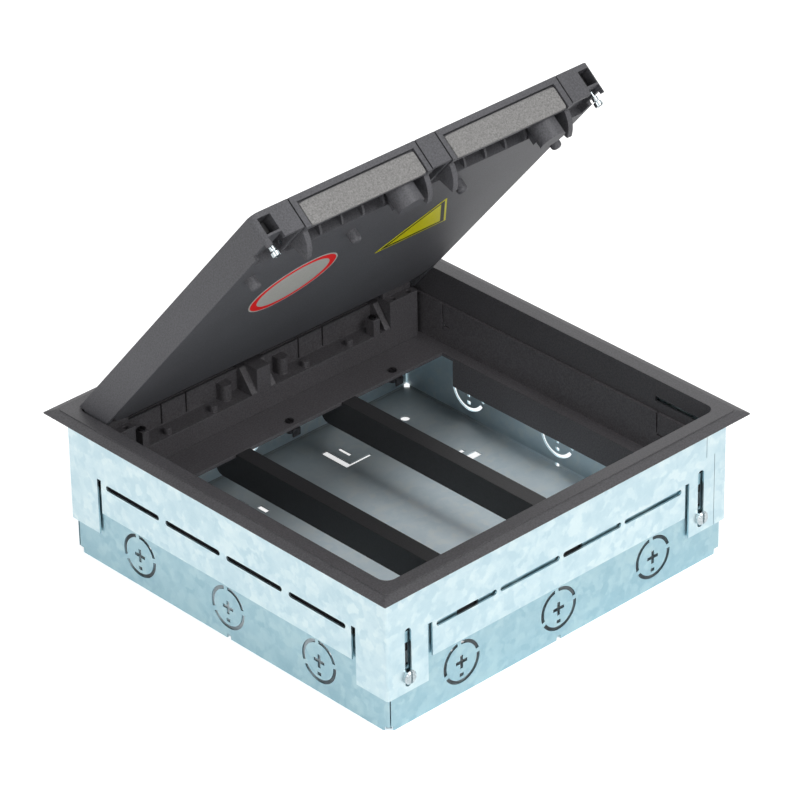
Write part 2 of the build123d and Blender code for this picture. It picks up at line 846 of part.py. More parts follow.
def stiffening_plate():
    half = pocket_half_x - stiffener_gap
    plate = block(-half, half, pocket_front + stiffener_gap, pocket_rear - stiffener_gap,
                  pocket_floor, pocket_floor + stiffener)
    for x, y in plate_fixings():
        plate -= rod_z(pocket_floor - lap, pocket_floor + stiffener + lap, x, y,
                       small_screw + pin_play)
    return plate


def plate_fixings():
    return [(x, y) for x in fixing_x for y in fixing_y]


def stiffener_screws():
    """Low round heads that hold the plate on the ribs."""
    screws = []
    for x, y in plate_fixings():
        screws.append(slotted_screw(x, y, pocket_floor + 0.05, pocket_floor + stiffener,
                                    stiffener_head, 2 * small_screw))
    return group(screws)


def support_screw():
    """Slotted screw with a collar, head down, drawn on the right."""
    shelf = slide_low - slide_shelf
    head_top = support_low + support_head
    head = rod_z(support_low, head_top, support_x, support_y, support_head_radius)
    head = chamfer(head.edges().filter_by(GeomType.CIRCLE), support_neck / 2)
    head -= block(support_x - driver_slot / 2, support_x + driver_slot / 2,
                  support_y - support_head_radius - lap, support_y + support_head_radius + lap,
                  support_low - lap, support_low + driver_slot)
    ring_low = head_top + support_neck
    ring = rod_z(ring_low, ring_low + support_ring, support_x, support_y,
                 support_ring_radius)
    ball = Pos(support_x, support_y, support_ball_z) * Sphere(support_ball)
    stem = rod_z(head_top - lap, shelf + slide_shelf, support_x, support_y,
                 support_radius - support_neck)
    return head + ring + ball + stem


def outlet_pins():
    outer = rod_x(bay_out - outlet_gap - cheek, bay_out + lid_wall - 0.2, outlet_pivot_y,
                  outlet_pivot_z, outlet_pin_radius)
    inner = rod_x(bay_in - lid_wall + 0.2, bay_in + outlet_gap + cheek, outlet_pivot_y,
                  outlet_pivot_z, outlet_pin_radius)
    return group(both_sides(outer) + both_sides(inner))


def cheek_plate(x0):
    """Sector-shaped side of a cord outlet."""
    def at(radius, angle):
        turn = math.radians(angle)
        return (outlet_pivot_y + radius * math.cos(turn),
                outlet_pivot_z + radius * math.sin(turn))
    arc = [at(cheek_radius, 165 + 5 * k) for k in range(18)]
    sector = side_view([(outlet_pivot_y, outlet_pivot_z)] + arc, x0, x0 + cheek)
    front = -lid_half + outlet_wall - 0.2
    tab = block(x0, x0 + cheek, front, front + 3.0, lid_bottom + 0.2,
                outlet_pivot_z + 4.0)
    pivot = rod_x(x0, x0 + cheek, outlet_pivot_y, outlet_pivot_z, 3.2)
    bore = rod_x(x0 - lap, x0 + cheek + lap, outlet_pivot_y, outlet_pivot_z,
                 outlet_pin_radius + pin_play)
    return sector + tab + pivot - bore


def cord_outlet():
    """Right-hand cord outlet with a recess for its foam strip."""
    x0 = bay_in + outlet_gap
    x1 = bay_out - outlet_gap
    low = lid_bottom + 0.1
    flap = block(x0, x1, -lid_half, -lid_half + outlet_wall, low, rim_top)
    strip = [(-lid_half, skin_under), (-lid_half, rim_top), (outlet_strip_y, rim_top),
             (outlet_strip_y - 3.3, skin_under)]
    flap += side_view(strip, x0, x1)
    flap -= block(foam_offset - foam_half - foam_gap, foam_offset + foam_half + foam_gap,
                  -lid_half - lap, -lid_half + foam_thick, low - lap,
                  foam_top + foam_gap)
    return flap + cheek_plate(x0) + cheek_plate(x1 - cheek)


def foam_strip():
    return block(foam_offset - foam_half, foam_offset + foam_half, -lid_half + 0.1,
                 -lid_half + foam_thick, lid_bottom + 0.1, foam_top)


def latch_slide():
    """Right-hand slide with a thumb button in the lid's top slot."""
    y0 = -lid_half + slide_rest
    slide = block(slide_in + slide_play, slide_out - slide_play, y0, y0 + slide_length,
                  slide_low + slide_play, slide_high - slide_play)
    nose = slide.edges().filter_by(Axis.X).group_by(Axis.Y)[0].sort_by(Axis.Z)[0]
    button = block(button_in, button_out, button_rear - button_length, button_rear,
                   slide_high - 1.0, rim_top - 0.4)
    return chamfer(nose, slide_nose) + button


def round_sticker():
    x, y = disc_sticker
    return rod_z(lid_bottom - sticker_thick, lid_bottom, x, y, disc_sticker_radius)


def three_sided_sticker():
    x, y = triangle_sticker
    reach = triangle_sticker_side / math.sqrt(3)
    corners = []
    for angle in (-90, 30, 150):
        turn = math.radians(angle)
        corners.append((x + reach * math.cos(turn), y + reach * math.sin(turn)))
    outline = make_face(Polyline(*corners, close=True))
    return extrude(Pos(0, 0, lid_bottom - sticker_thick) * outline,
                   amount=sticker_thick, dir=(0, 0, 1))


def main():
    save(base_tray(), "base_tray")
    save(at_screws(adjusting_screw()), "adjusting_screws")
    save(at_screws(sheet_nut()), "adjusting_nuts")
    front_sheet = collar_sheet()
    save(front_sheet, "collar_sheet_front")
    save(turned(front_sheet, 180), "collar_sheet_rear")
    save(floor_frame(), "floor_frame")
    save(insert_tray(), "insert_tray")
    save(group([support_bar(-bar_centre), support_bar(bar_centre)]), "support_bars")
    save(plate_screws(), "plate_screws")
    save(plate_clips(), "plate_clips")
    save(hinge_bridge(), "hinge_bridge")
    save(bridge_screws(), "bridge_screws")
    save(hinge_pins(), "hinge_pins")
    save(opened(lid_shell()), "lid_shell")
    save(opened(stiffening_plate()), "stiffening_plate")
    save(opened(stiffener_screws()), "stiffener_screws")
    save(opened(group(both_sides(support_screw()))), "support_screws")
    save(opened(outlet_pins()), "outlet_pins")
    right_outlet = cord_outlet()
    save(opened(right_outlet), "cord_outlet_right")
    save(opened(mirror(right_outlet, about=Plane.YZ)), "cord_outlet_left")
    right_foam = foam_strip()
    save(opened(right_foam), "foam_strip_right")
    save(opened(mirror(right_foam, about=Plane.YZ)), "foam_strip_left")
    right_slide = latch_slide()
    save(opened(right_slide), "latch_slide_right")
    save(opened(mirror(right_slide, about=Plane.YZ)), "latch_slide_left")
    save(opened(round_sticker()), "round_sticker")
    save(opened(three_sided_sticker()), "triangle_sticker")


main()
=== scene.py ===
"""Looks, stage and camera of the floor box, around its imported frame."""

import math

import bpy
import numpy as np
from mathutils import Matrix, Vector


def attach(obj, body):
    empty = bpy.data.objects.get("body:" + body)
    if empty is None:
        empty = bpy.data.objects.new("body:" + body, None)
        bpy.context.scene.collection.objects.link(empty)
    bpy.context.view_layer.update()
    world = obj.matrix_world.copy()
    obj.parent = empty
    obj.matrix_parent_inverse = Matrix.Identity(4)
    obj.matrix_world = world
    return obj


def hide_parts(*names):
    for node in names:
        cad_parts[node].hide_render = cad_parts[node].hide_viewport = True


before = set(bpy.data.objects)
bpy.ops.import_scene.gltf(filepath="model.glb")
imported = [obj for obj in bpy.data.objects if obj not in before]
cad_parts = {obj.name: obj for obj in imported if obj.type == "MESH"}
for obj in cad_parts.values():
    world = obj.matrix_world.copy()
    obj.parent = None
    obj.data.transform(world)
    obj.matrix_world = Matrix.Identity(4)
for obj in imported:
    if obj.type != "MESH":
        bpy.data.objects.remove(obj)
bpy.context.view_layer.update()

bl_info = {
    "name": "Floor box",
    "version": (1, 0, 0),
    "blender": (4, 5, 0),
    "location": "3D View > Sidebar > Floor box",
    "description": "Finishes, foam strips and stage of a floor box with a hinged lid",
    "category": "Object",
}

MM = 0.001

# Hinge axis of the lid, in mm, and its turn from shut to open
HINGE = np.array([0.0, 112.8, 74.5])
OPEN_ANGLE = math.radians(-50)

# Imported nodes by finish
TRAY_NODES = ("base_tray",)
COLLAR_NODES = ("collar_sheet_front", "collar_sheet_rear")
FRAME_NODES = ("floor_frame",)
INSERT_NODES = ("insert_tray", "hinge_bridge")
BAR_NODES = ("support_bars",)
LID_NODES = ("lid_shell", "cord_outlet_left", "cord_outlet_right")
SLIDE_NODES = ("latch_slide_left", "latch_slide_right")
PLATE_NODES = ("stiffening_plate",)
ZINC_NODES = ("adjusting_screws", "adjusting_nuts", "support_screws", "hinge_pins",
              "outlet_pins", "stiffener_screws")
DARK_SCREW_NODES = ("plate_screws", "plate_clips", "bridge_screws")

# Zinc crystals: bend and cloud as shares of the spangle, softness of their edges, how far
# their roughness spreads, and the colour shares of the coolest and the palest tone
BEND_SCALE = 0.7
BEND_REACH = 2.6
CLOUD_SCALE = 0.3
CRYSTAL_SOFTNESS = 0.6
ROUGHNESS_SPREAD = (-0.07, 0.09)
COOL_TONE = (0.88, 0.92, 0.94)
PALE_TONE = (1.13, 1.08, 1.05)

# Inside the tray, in metres: a reach from the middle just past the inner faces, a height
# just above the floor, and the stretch along Y over which painted shade darkens the floor
TRAY_INSIDE = 0.1208
TRAY_FLOOR = 0.0025
FLOOR_FADE = (0.015, 0.085)

# The coat there: painted shade at the floor's rear and on the walls, share of plain colour
# over the mottle, roughness, and how metallic the floor is
REAR_SHADE = 0.3
WALL_SHADE = 0.8
COAT_PLAINNESS = 0.5
COAT_ROUGHNESS = 0.45
FLOOR_METAL = 0.12

# Other finishes, in metres: widths of their patterns and the shaded radius of moulded
# edges; last, the IOR of polyamide
FLOW_WIDTH = 0.045
EDGE_RADIUS = 0.0007
TURNING_MARK = 0.0008
OXIDE_PATCH = 0.002
INK_GRAIN = 0.0012
POLYAMIDE_IOR = 1.53

# Films, in mm on the shut lid: centre, size, the two depths that bound the plain band, and
# the blur of its edges; the triangle's sides face three directions, in degrees
DISC_CENTRE = (-50.2, -23.5, 70.3)
DISC_RADIUS = 27.2
DISC_BAND = (5.0, 0.9)
TRIANGLE_CENTRE = (44.9, -18.5, 70.3)
TRIANGLE_SIDE = 51.4
TRIANGLE_ANGLES = (90, 210, 330)
TRIANGLE_BAND = (3.6, 1.2)
BAND_BLUR = 0.1

# Foam strips, in mm on the shut lid: half sizes, the right one's middle, rows and columns,
# powers of the superellipsoid, and the height of the waves and of the whole fall
FOAM_HALF = (39.0, 1.1, 6.75)
FOAM_MIDDLE = (50.0, -116.8, 77.3)
FOAM_GRID = (61, 120)
FOAM_SECTION_POWER = 0.16
FOAM_RING_POWER = 0.05
FOAM_END_POWER = 0.3
FOAM_WAVE = 0.06
FOAM_FALL_LIMIT = 0.5

# Floor: half its width in metres, its grey, its glow to direct rays, and what the camera
# sees on top of that
FLOOR_HALF = 6.0
FLOOR_GREY = 0.8
DIRECT_GLOW = 0.42
CAMERA_GLOW = 0.2

# Lamps: name, place and width in metres, and share of the lamp power; then the place that
# they all face
LAMPS = (
    ("main_lamp", (0.1, -1.9, 2.5), 1.2, 1.7),
    ("left_lamp", (-2.6, -0.6, 1.1), 1.2, 0.6),
    ("front_lamp", (-0.9, -2.8, 0.6), 1.0, 0.55),
    ("back_lamp", (1.5, 1.7, 1.5), 1.2, 0.3),
)
LAMP_TARGET = (0, 0, 0.1)

# Camera: its axes, its place in metres, and its lens and sensor in mm
CAMERA_RIGHT = (0.7269776, -0.6864848, -0.0155648)
CAMERA_UP = (0.3622804, 0.3641969, 0.8579706)
CAMERA_BACK = (-0.5833151, -0.6293642, 0.513463)
CAMERA_PLACE = (-1.4879062, -1.6064349, 1.4058034)
CAMERA_LENS = 219.8
CAMERA_SENSOR = 36.0


def linear(code):
    """Linear colour of an sRGB hex code."""
    parts = [int(code[k:k + 2], 16) / 255 for k in (0, 2, 4)]
    return [p / 12.92 if p <= 0.04045 else ((p + 0.055) / 1.055) ** 2.4 for p in parts]


def add_node(tree, kind, settings=None, inputs=None):
    """Add a node, set its properties, and set or link its sockets."""
    node = tree.nodes.new(kind)
    for name, value in (settings or {}).items():
        setattr(node, name, value)
    for name, value in (inputs or {}).items():
        if isinstance(value, bpy.types.NodeSocket):
            tree.links.new(value, node.inputs[name])
        else:
            node.inputs[name].default_value = value
    return node


def new_material(name):
    """Empty node material, its tree and its Object coordinates."""
    material = bpy.data.materials.new(name)
    material.use_nodes = True
    tree = material.node_tree
    tree.nodes.clear()
    coords = add_node(tree, "ShaderNodeTexCoord").outputs["Object"]
    return material, tree, coords


def close_material(tree, shader):
    add_node(tree, "ShaderNodeOutputMaterial", inputs={"Surface": shader})


def tone_ramp(tree, factor, stops):
    """Colour ramp through (place, linear colour) stops."""
    node = add_node(tree, "ShaderNodeValToRGB", inputs={"Fac": factor})
    ramp = node.color_ramp
    while len(ramp.elements) < len(stops):
        ramp.elements.new(0.5)
    for element, (place, colour) in zip(ramp.elements, stops):
        element.position = place
        element.color = (*colour, 1.0)
    return node.outputs["Color"]


def shaded(colour, share):
    """A linear colour made lighter or darker by a share."""
    return [min(c * share, 1.0) for c in colour]


def dress(nodes, material):
    """Give CAD nodes one material."""
    for name in nodes:
        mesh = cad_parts[name].data
        mesh.materials.clear()
        mesh.materials.append(material)


def opened(points):
    """Turn points of the shut lid, in mm, about the hinge to the open stop."""
    c, s = math.cos(OPEN_ANGLE), math.sin(OPEN_ANGLE)
    turn = np.array([[1, 0, 0], [0, c, -s], [0, s, c]])
    return (np.asarray(points) - HINGE) @ turn.T + HINGE


def grid_piece(name, points, closed_u, material, body):
    """Mesh of a grid of points (rows, columns, 3) in mm, riding on a body."""
    rows, columns = points.shape[:2]
    index = np.arange(rows * columns).reshape(rows, columns)
    if closed_u:
        index = np.concatenate([index, index[:, :1]], axis=1)
    faces = np.stack([index[:-1, :-1], index[:-1, 1:], index[1:, 1:], index[1:, :-1]],
                     axis=-1).reshape(-1, 4)
    mesh = bpy.data.meshes.new(name)
    mesh.from_pydata((points.reshape(-1, 3) * MM).tolist(), [], faces.tolist())
    mesh.materials.append(material)
    mesh.polygons.foreach_set("use_smooth", np.ones(len(faces), dtype=bool))
    piece = bpy.data.objects.new(name, mesh)
    bpy.context.scene.collection.objects.link(piece)
    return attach(piece, body)


class SteelSizes(bpy.types.PropertyGroup):
    """Galvanised sheet."""

    tray_colour: bpy.props.FloatVectorProperty(
        name="Tray colour", description="Zinc coat outside the tray", subtype="COLOR",
        default=linear("A8C6CF"), min=0, max=1)
    # The tray's inside coat is painted far paler than its outside: painted light
    inside_colour_with_painted_light: bpy.props.FloatVectorProperty(
        name="Inside colour", description="Zinc coat inside the tray", subtype="COLOR",
        default=linear("E9F8FF"), min=0, max=1)
    collar_colour: bpy.props.FloatVectorProperty(
        name="Collar colour", description="Zinc coat of the collar", subtype="COLOR",
        default=linear("CCE0E6"), min=0, max=1)
    plate_colour: bpy.props.FloatVectorProperty(
        name="Plate colour", description="Dulled zinc coat of the plate in the lid",
        subtype="COLOR", default=linear("8F9B9F"), min=0, max=1)
    spangle: bpy.props.FloatProperty(
        name="Spangle", description="Width of one zinc crystal", subtype="DISTANCE",
        default=0.0048, min=0.001)
    roughness: bpy.props.FloatProperty(
        name="Roughness", description="Roughness of the zinc coat", subtype="FACTOR",
        default=0.42, min=0, max=1)


class PlasticSizes(bpy.types.PropertyGroup):
    """Moulded polyamide."""

    frame_colour: bpy.props.FloatVectorProperty(
        name="Frame colour", description="Polyamide of the floor frame",
        subtype="COLOR", default=linear("454447"), min=0, max=1)
    # The insert is the frame's polyamide, painted lighter: painted light inside the box
    insert_colour_with_painted_light: bpy.props.FloatVectorProperty(
        name="Insert colour", description="Polyamide of the insert and hinge bridge",
        subtype="COLOR", default=linear("504E51"), min=0, max=1)
    bar_colour: bpy.props.FloatVectorProperty(
        name="Bar colour", description="Polyamide of the two channels",
        subtype="COLOR", default=linear("262628"), min=0, max=1)
    lid_colour: bpy.props.FloatVectorProperty(
        name="Lid colour", description="Polyamide of the lid", subtype="COLOR",
        default=linear("4C4C50"), min=0, max=1)
    slide_colour: bpy.props.FloatVectorProperty(
        name="Slide colour", description="Acetal of the latch slides",
        subtype="COLOR", default=linear("19191B"), min=0, max=1)
    grain: bpy.props.FloatProperty(
        name="Grain", description="Width of the spark-eroded mould grain",
        subtype="DISTANCE", default=0.0009, min=0.0001)


class FoamSizes(bpy.types.PropertyGroup):
    """Sealing foam in the cord outlets."""

    colour: bpy.props.FloatVectorProperty(
        name="Colour", description="Open-cell foam", subtype="COLOR",
        default=linear("898887"), min=0, max=1)
    pore: bpy.props.FloatProperty(
        name="Pore", description="Width of one foam cell", subtype="DISTANCE",
        default=0.0009, min=0.0001)
    crown: bpy.props.FloatProperty(
        name="Crown", description="How far the face falls towards its edges",
        subtype="DISTANCE", default=0.0003, min=0)


class FilmSizes(bpy.types.PropertyGroup):
    """Blank printed films under the lid."""

    disc_colour: bpy.props.FloatVectorProperty(
        name="Disc colour", description="Ground of the round film", subtype="COLOR",
        default=linear("C4C4BE"), min=0, max=1)
    disc_rim_colour: bpy.props.FloatVectorProperty(
        name="Disc rim", description="Plain band round the round film",
        subtype="COLOR", default=linear("FF1414"), min=0, max=1)
    triangle_colour: bpy.props.FloatVectorProperty(
        name="Triangle colour", description="Ground of the three-sided film",
        subtype="COLOR", default=linear("DDD608"), min=0, max=1)
    triangle_rim_colour: bpy.props.FloatVectorProperty(
        name="Triangle rim", description="Plain band round the three-sided film",
        subtype="COLOR", default=linear("12120C"), min=0, max=1)


class StageSizes(bpy.types.PropertyGroup):
    """Floor, lamps and background."""

    lamp_power: bpy.props.FloatProperty(
        name="Lamp power", description="Power of which each lamp takes its share", unit="POWER",
        default=23.0, min=0)
    sky: bpy.props.FloatProperty(
        name="Sky", description="Strength of the even light from all sides",
        default=0.48, min=0)


def inside_tray(tree, coords):
    """Where a place lies in the tray.

    Gives its place along Y, 1 on all inner faces, and 1 on the inner floor."""
    along = add_node(tree, "ShaderNodeSeparateXYZ", inputs={0: coords}).outputs["Y"]
    apart = add_node(tree, "ShaderNodeVectorMath", {"operation": "ABSOLUTE"}, {0: coords})
    parts = add_node(tree, "ShaderNodeSeparateXYZ", inputs={0: apart.outputs["Vector"]})
    reach = add_node(tree, "ShaderNodeMath", {"operation": "MAXIMUM"},
                     {0: parts.outputs["X"], 1: parts.outputs["Y"]}).outputs["Value"]
    within = add_node(tree, "ShaderNodeMath", {"operation": "LESS_THAN"},
                      {0: reach, 1: TRAY_INSIDE}).outputs["Value"]
    floor = add_node(tree, "ShaderNodeMath", {"operation": "LESS_THAN"},
                     {0: parts.outputs["Z"], 1: TRAY_FLOOR})
    both = add_node(tree, "ShaderNodeMath", {"operation": "MULTIPLY"},
                    {0: floor.outputs["Value"], 1: within}).outputs["Value"]
    return along, within, both


def spangled(tree, pattern, colour):
    """Three soft tones of one zinc colour."""
    cool = [c * share for c, share in zip(colour, COOL_TONE)]
    pale = [min(c * share, 1) for c, share in zip(colour, PALE_TONE)]
    return tone_ramp(tree, pattern, [(0.5, cool), (0.76, colour), (1.0, pale)])


def galvanised_steel(name, colour, sizes, inside=None):
    """Cold-rolled steel, hot-dip galvanised: crystals with soft, low-contrast edges.

    Inside the tray the coat is plainer and rougher, and painted paler as painted light;
    painted shade darkens its walls, and its floor towards the rear."""
    material, tree, coords = new_material(name)
    bend = add_node(tree, "ShaderNodeTexNoise",
                    inputs={"Vector": coords, "Scale": BEND_SCALE / sizes.spangle,
                            "Detail": 4.0})
    shift = add_node(tree, "ShaderNodeVectorMath", {"operation": "MULTIPLY_ADD"},
                     {0: bend.outputs["Color"], 1: (sizes.spangle * BEND_REACH,) * 3,
                      2: coords})
    crystal = add_node(tree, "ShaderNodeTexVoronoi", {"feature": "SMOOTH_F1"},
                       {"Vector": shift.outputs["Vector"], "Scale": 1 / sizes.spangle,
                        "Smoothness": CRYSTAL_SOFTNESS})
    tone = add_node(tree, "ShaderNodeSeparateColor",
                    inputs={"Color": crystal.outputs["Color"]})
    cloud = add_node(tree, "ShaderNodeTexNoise",
                     inputs={"Vector": coords, "Scale": CLOUD_SCALE / sizes.spangle,
                             "Detail": 6.0, "Roughness": 0.65})
    mixed = add_node(tree, "ShaderNodeMath", {"operation": "MULTIPLY_ADD"},
                     {0: tone.outputs["Red"], 1: 0.5, 2: cloud.outputs["Fac"]})
    paint = spangled(tree, mixed.outputs["Value"], colour)
    rough = add_node(tree, "ShaderNodeMapRange",
                     inputs={"Value": tone.outputs["Green"],
                             "To Min": sizes.roughness + ROUGHNESS_SPREAD[0],
                             "To Max": sizes.roughness + ROUGHNESS_SPREAD[1]}
                     ).outputs["Result"]
    metal = 1.0
    if inside is not None:
        along, within, floor = inside_tray(tree, coords)
        # Painted shade: the floor darkens towards the rear, where the open lid shades it
        painted_rear_shade = add_node(tree, "ShaderNodeMapRange", {"interpolation_type": "SMOOTHSTEP"},
                        {"Value": along, "From Min": FLOOR_FADE[0], "From Max": FLOOR_FADE[1]})
        # Inside coat, half plain and half mottled, in its paler colour that is painted light
        coat = add_node(tree, "ShaderNodeMix", {"data_type": "RGBA"},
                        {"Factor": COAT_PLAINNESS, 7: (*inside, 1.0),
                         6: spangled(tree, mixed.outputs["Value"], inside)}).outputs[2]
        # Floor coat with its painted rear shade
        bottom = add_node(tree, "ShaderNodeMix",
                          {"data_type": "RGBA", "blend_type": "MULTIPLY"},
                          {"Factor": painted_rear_shade.outputs["Result"], 6: coat,
                           7: (*(REAR_SHADE,) * 3, 1.0)}).outputs[2]
        # Walls' coat darkened by painted shade
        walls = add_node(tree, "ShaderNodeMix",
                         {"data_type": "RGBA", "blend_type": "MULTIPLY"},
                         {"Factor": 1.0, 6: coat, 7: (*(WALL_SHADE,) * 3, 1.0)}).outputs[2]
        paint = add_node(tree, "ShaderNodeMix", {"data_type": "RGBA"},
                         {"Factor": within, 6: paint, 7: walls}).outputs[2]
        paint = add_node(tree, "ShaderNodeMix", {"data_type": "RGBA"},
                         {"Factor": floor, 6: paint, 7: bottom}).outputs[2]
        rough = add_node(tree, "ShaderNodeMix", inputs={0: within, 2: rough,
                                                        3: COAT_ROUGHNESS}).outputs[0]
        metal = add_node(tree, "ShaderNodeMapRange",
                         inputs={"Value": floor, "To Min": 1.0,
                                 "To Max": FLOOR_METAL}).outputs["Result"]
    ripple = add_node(tree, "ShaderNodeBump",
                      inputs={"Height": crystal.outputs["Distance"], "Strength": 0.12,
                              "Distance": 0.0003})
    shader = add_node(tree, "ShaderNodeBsdfPrincipled",
                      inputs={"Base Color": paint, "Metallic": metal,
                              "Roughness": rough, "Normal": ripple.outputs["Normal"]})
    close_material(tree, shader.outputs["BSDF"])
    return material


def moulded_polyamide(name, colour, grain):
    """Glass-filled polyamide, moulded in a spark-eroded tool: dull and finely grained.

    Its edges are shaded as if rounded by 0.7 mm, so they catch a thin line of light."""
    material, tree, coords = new_material(name)
    speck = add_node(tree, "ShaderNodeTexNoise",
                     inputs={"Vector": coords, "Scale": 1 / grain, "Detail": 2.0})
    flow = add_node(tree, "ShaderNodeTexNoise",
                    inputs={"Vector": coords, "Scale": 1 / FLOW_WIDTH, "Detail": 3.0})
    mixed = add_node(tree, "ShaderNodeMath", {"operation": "MULTIPLY_ADD"},
                     {0: flow.outputs["Fac"], 1: 0.25, 2: speck.outputs["Fac"]})
    paint = tone_ramp(tree, mixed.outputs["Value"],
                      [(0.44, shaded(colour, 0.7)), (0.8, shaded(colour, 1.3))])
    rough = add_node(tree, "ShaderNodeMapRange",
                     inputs={"Value": speck.outputs["Fac"], "To Min": 0.48, "To Max": 0.62})
    edges = add_node(tree, "ShaderNodeBevel", {"samples": 4}, {"Radius": EDGE_RADIUS})
    relief = add_node(tree, "ShaderNodeBump",
                      inputs={"Height": speck.outputs["Fac"], "Strength": 0.35,
                              "Distance": 0.0002, "Normal": edges.outputs["Normal"]})
    shader = add_node(tree, "ShaderNodeBsdfPrincipled",
                      inputs={"Base Color": paint, "Roughness": rough.outputs["Result"],
                              "Normal": relief.outputs["Normal"],
                              "IOR": POLYAMIDE_IOR})
    close_material(tree, shader.outputs["BSDF"])
    return material


def zinc_plated_steel(name):
    """Turned steel, bright zinc plated: clear highlights over fine turning marks."""
    material, tree, coords = new_material(name)
    marks = add_node(tree, "ShaderNodeTexNoise",
                     inputs={"Vector": coords, "Scale": 1 / TURNING_MARK, "Detail": 2.0})
    paint = tone_ramp(tree, marks.outputs["Fac"],
                      [(0.3, linear("A9B4B8")), (0.7, linear("CED6D9"))])
    rough = add_node(tree, "ShaderNodeMapRange",
                     inputs={"Value": marks.outputs["Fac"], "To Min": 0.16, "To Max": 0.3})
    relief = add_node(tree, "ShaderNodeBump",
                      inputs={"Height": marks.outputs["Fac"], "Strength": 0.1,
                              "Distance": 0.0001})
    shader = add_node(tree, "ShaderNodeBsdfPrincipled",
                      inputs={"Base Color": paint, "Metallic": 1.0,
                              "Roughness": rough.outputs["Result"],
                              "Normal": relief.outputs["Normal"]})
    close_material(tree, shader.outputs["BSDF"])
    return material


def black_oxide_steel(name):
    """Small steel parts, black oxide: dark with a dull oily shine."""
    material, tree, coords = new_material(name)
    patch = add_node(tree, "ShaderNodeTexNoise",
                     inputs={"Vector": coords, "Scale": 1 / OXIDE_PATCH, "Detail": 3.0})
    paint = tone_ramp(tree, patch.outputs["Fac"],
                      [(0.35, linear("2E2D2F")), (0.7, linear("4C4A4D"))])
    rough = add_node(tree, "ShaderNodeMapRange",
                     inputs={"Value": patch.outputs["Fac"], "To Min": 0.3, "To Max": 0.5})
    shader = add_node(tree, "ShaderNodeBsdfPrincipled",
                      inputs={"Base Color": paint, "Metallic": 0.8,
                              "Roughness": rough.outputs["Result"]})
    close_material(tree, shader.outputs["BSDF"])
    return material


def sealing_foam(name, sizes):
    """Open-cell polyurethane foam, sawn: matt, mottled, with small open pores."""
    material, tree, coords = new_material(name)
    pores = add_node(tree, "ShaderNodeTexVoronoi",
                     inputs={"Vector": coords, "Scale": 1 / sizes.pore})
    mottle = add_node(tree, "ShaderNodeTexNoise",
                      inputs={"Vector": coords, "Scale": 0.9 / sizes.pore, "Detail": 3.0,
                              "Roughness": 0.7})
    mixed = add_node(tree, "ShaderNodeMath", {"operation": "MULTIPLY_ADD"},
                     {0: pores.outputs["Distance"], 1: 0.3, 2: mottle.outputs["Fac"]})
    colour = list(sizes.colour)
    paint = tone_ramp(tree, mixed.outputs["Value"],
                      [(0.42, shaded(colour, 0.66)), (0.66, colour),
                       (0.86, shaded(colour, 1.24))])
    relief = add_node(tree, "ShaderNodeBump",
                      inputs={"Height": mixed.outputs["Value"], "Strength": 0.6,
                              "Distance": 0.0004})
    shader = add_node(tree, "ShaderNodeBsdfPrincipled",
                      inputs={"Base Color": paint, "Roughness": 0.95,
                              "Normal": relief.outputs["Normal"]})
    close_material(tree, shader.outputs["BSDF"])
    return material


def distance_from(tree, coords, point):
    """Distance of each place from a point, in mm."""
    place = [p * MM for p in point]
    apart = add_node(tree, "ShaderNodeVectorMath", {"operation": "DISTANCE"},
                     {0: coords, 1: place})
    scaled = add_node(tree, "ShaderNodeMath", {"operation": "MULTIPLY"},
                      {0: apart.outputs["Value"], 1: 1 / MM})
    return scaled.outputs["Value"]


def printed_film(name, ground, edge, band, depth):
    """Vinyl film, screen printed and blank: dull-smooth, a plain band inside its edge.

    depth gives how far, in mm, each place lies inside the film's edge."""
    material, tree, coords = new_material(name)
    within = depth(tree, coords)
    ink = add_node(tree, "ShaderNodeTexNoise",
                   inputs={"Vector": coords, "Scale": 1 / INK_GRAIN, "Detail": 2.0})
    paint = tone_ramp(tree, ink.outputs["Fac"],
                      [(0.3, shaded(ground, 0.93)), (0.7, shaded(ground, 1.05))])
    for bound in band:
        step = add_node(tree, "ShaderNodeMapRange",
                        inputs={"Value": within, "From Min": bound + BAND_BLUR,
                                "From Max": bound - BAND_BLUR})
        under = shaded(ground, 1.0) if bound == band[-1] else edge
        paint = add_node(tree, "ShaderNodeMix", {"data_type": "RGBA"},
                         {"Factor": step.outputs["Result"], 6: paint,
                          7: (*under, 1.0)}).outputs[2]
    shader = add_node(tree, "ShaderNodeBsdfPrincipled",
                      inputs={"Base Color": paint, "Roughness": 0.4,
                              "Specular IOR Level": 0.12})
    close_material(tree, shader.outputs["BSDF"])
    return material


def disc_depth(tree, coords):
    """Distance inside the round film's edge, in mm."""
    far = distance_from(tree, coords, opened([DISC_CENTRE])[0])
    return add_node(tree, "ShaderNodeMath", {"operation": "SUBTRACT"},
                    {0: DISC_RADIUS, 1: far}).outputs["Value"]


def triangle_depth(tree, coords):
    """Distance inside the nearest side of the three-sided film, in mm.

    It is what the largest of three dot products leaves of the inner radius."""
    centre = opened([TRIANGLE_CENTRE])[0]
    largest = None
    for angle in TRIANGLE_ANGLES:
        turn = math.radians(angle)
        outward = np.array([[math.cos(turn), math.sin(turn), 0.0]])
        side = (opened(outward + HINGE) - HINGE)[0]
        offset = add_node(tree, "ShaderNodeVectorMath", {"operation": "SUBTRACT"},
                          {0: coords, 1: [c * MM for c in centre]})
        along = add_node(tree, "ShaderNodeVectorMath", {"operation": "DOT_PRODUCT"},
                         {0: offset.outputs["Vector"], 1: side.tolist()})
        reach = along.outputs["Value"]
        if largest is not None:
            reach = add_node(tree, "ShaderNodeMath", {"operation": "MAXIMUM"},
                             {0: largest, 1: reach}).outputs["Value"]
        largest = reach
    inner_radius = TRIANGLE_SIDE / (2 * math.sqrt(3))
    return add_node(tree, "ShaderNodeMath", {"operation": "MULTIPLY_ADD"},
                    {0: largest, 1: -1 / MM, 2: inner_radius}).outputs["Value"]


